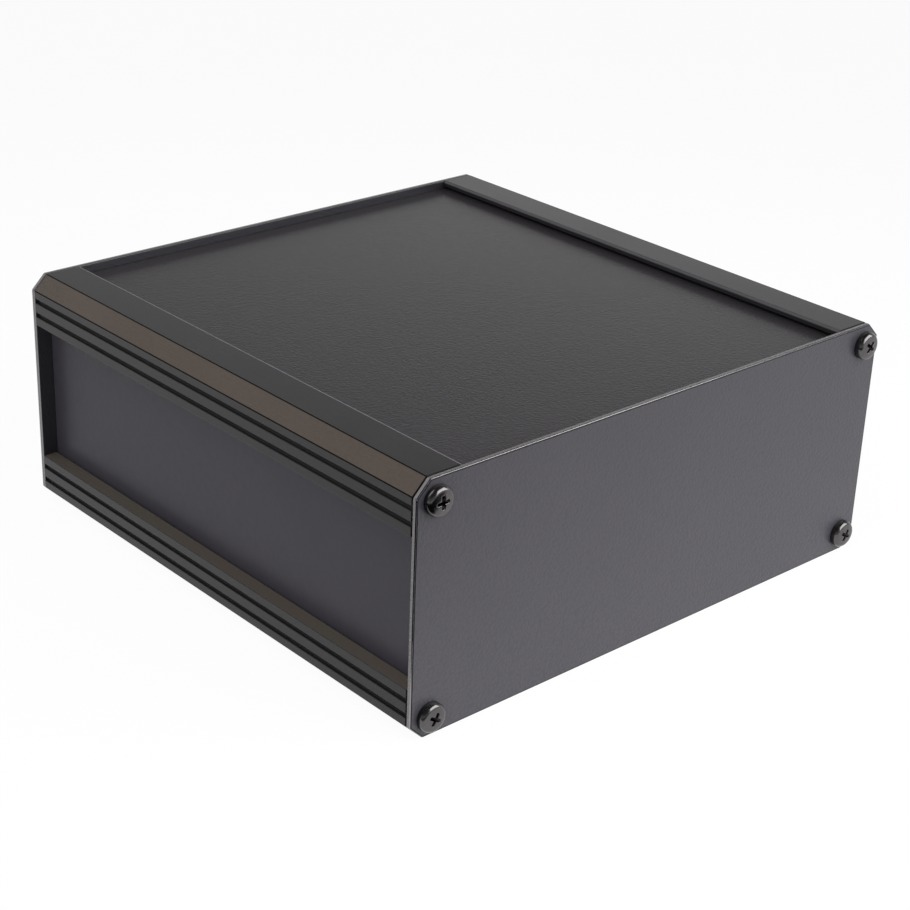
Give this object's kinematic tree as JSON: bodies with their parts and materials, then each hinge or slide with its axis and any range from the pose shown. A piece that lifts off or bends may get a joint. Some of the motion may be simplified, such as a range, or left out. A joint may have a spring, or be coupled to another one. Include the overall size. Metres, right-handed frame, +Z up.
{
  "type": "extruded aluminium enclosure",
  "caption": "Black instrument case with grooved extruded corner rails, recessed slide-in panels and screwed flat end plates.",
  "frame": {"origin": "centre of the footprint, on the surface the case stands on", "axes": "+Z up, X along the rails with the right end plate towards +X, grooved front face towards -Y"},
  "size_m": [0.1702, 0.1666, 0.069],
  "materials": {
    "rail": "satin black anodised extrusion",
    "cover": "fine satin black coat on sheet",
    "face": "smooth satin black anodised sheet",
    "plate": "fine textured black coat on sheet",
    "screw": "black zinc plated steel"
  },
  "bodies": {
    "root": {"front_top_rail": "rail", "front_bottom_rail": "rail", "rear_top_rail": "rail", "rear_bottom_rail": "rail", "top_panel": "cover", "bottom_panel": "cover", "front_panel": "face", "rear_panel": "face", "right_end_plate": "plate", "left_end_plate": "plate", "right_end_screws": "screw", "left_end_screws": "screw"}
  },
  "joints": []
}
